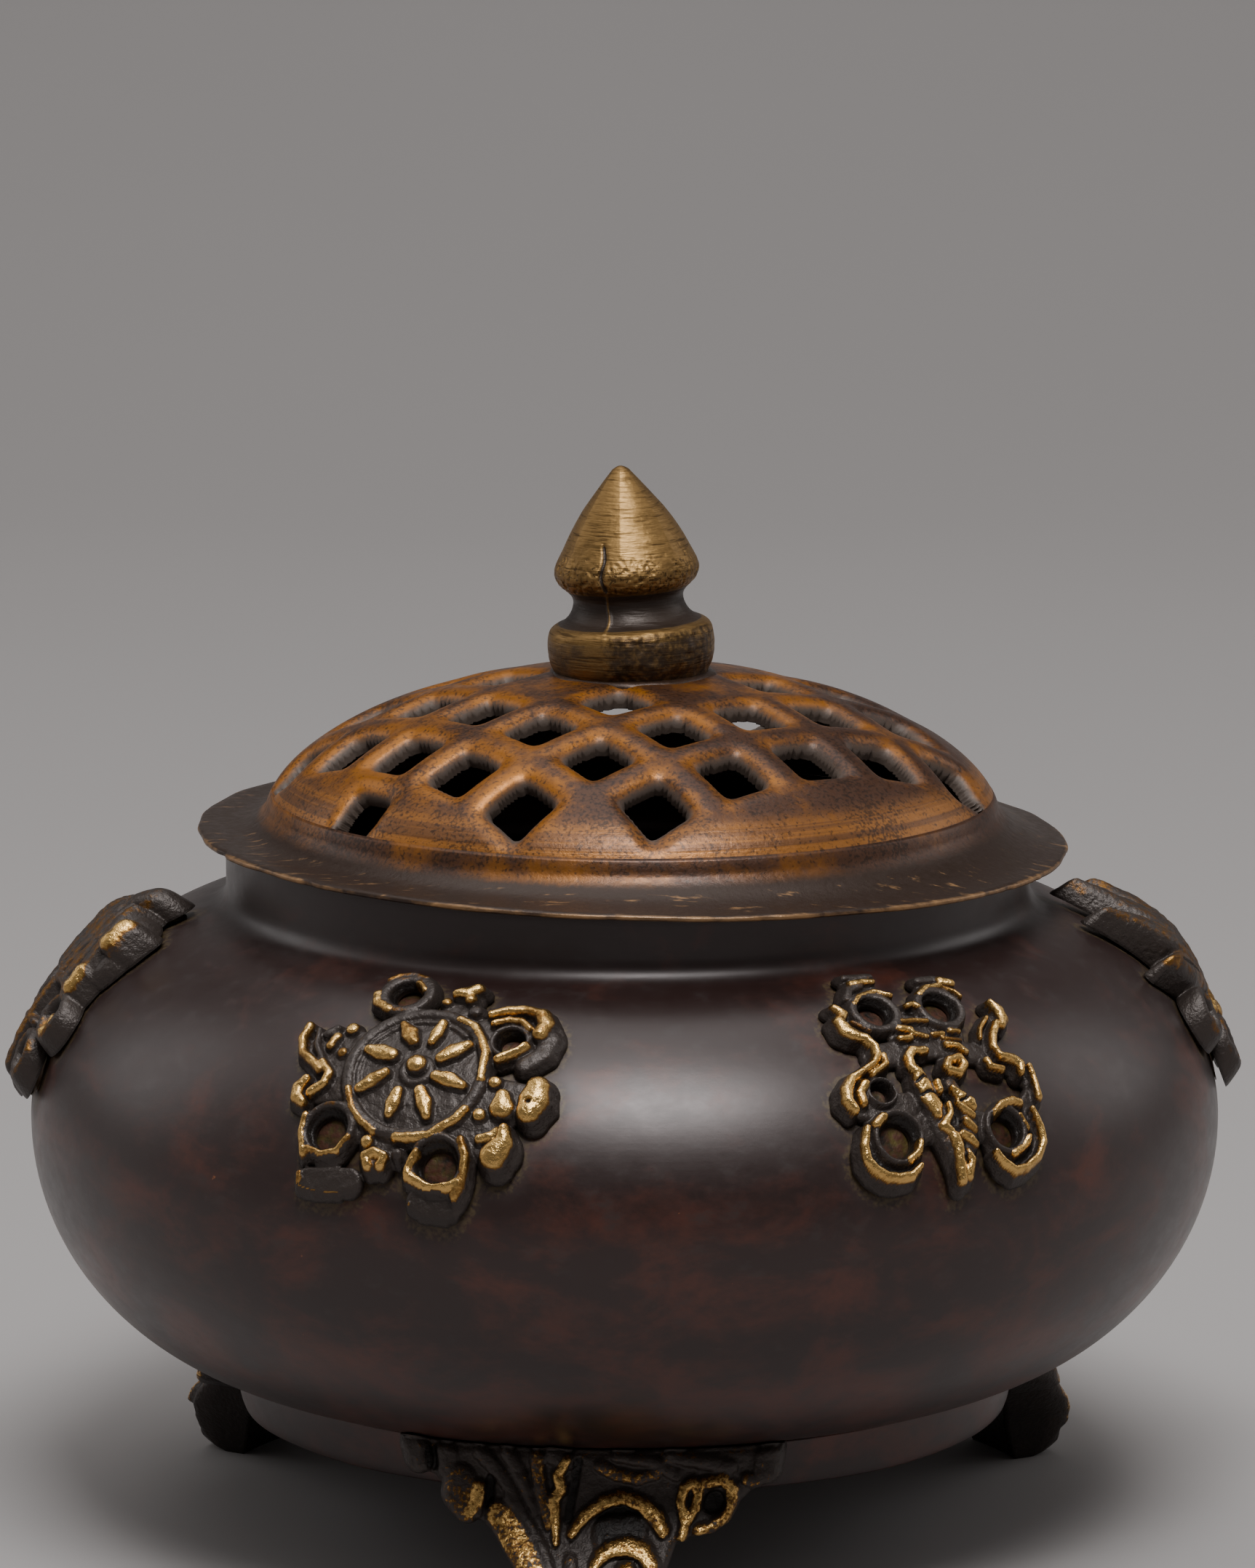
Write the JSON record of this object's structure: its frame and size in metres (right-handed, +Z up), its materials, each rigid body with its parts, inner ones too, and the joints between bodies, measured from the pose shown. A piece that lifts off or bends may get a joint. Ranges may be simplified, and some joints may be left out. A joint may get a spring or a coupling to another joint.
{
  "type": "incense burner",
  "caption": "Footed metal incense burner: a dark rounded bowl with cast emblem plaques and scroll feet, and a lift-off pierced dome lid with a pointed finial.",
  "frame": {"origin": "on the floor under the middle of the bowl", "axes": "+Z up along the axis of the bowl, -Y towards the front, between the wheel plaque and the fish plaque"},
  "size_m": [0.1457, 0.1405, 0.1248],
  "materials": {
    "dark_copper": "satin dark brown oxide patina on a copper alloy",
    "cast_brass": "as cast, dark in the recesses and rubbed bright on the relief",
    "amber_bronze": "amber brown patina, worn on the edges",
    "filed_brass": "filed and pitted, bright",
    "braze": "dull as flowed"
  },
  "bodies": {
    "burner": {"bowl": "dark_copper", "foot_ring": "dark_copper", "front_foot": "cast_brass", "right_rear_foot": "cast_brass", "left_rear_foot": "cast_brass", "foot_solder": "braze", "wheel_plaque": "cast_brass", "fish_plaque": "cast_brass", "lotus_plaque": "cast_brass", "knot_plaque": "cast_brass", "vase_plaque": "cast_brass", "parasol_plaque": "cast_brass", "plaque_solder": "braze"},
    "cover": {"lid": "amber_bronze", "finial": "filed_brass", "finial_washer": "filed_brass"}
  },
  "joints": [
    {"name": "lid_lift", "type": "slide", "parent": "burner", "child": "cover", "axis": [0, 0, 1], "range_m": [0, 0.07]}
  ]
}
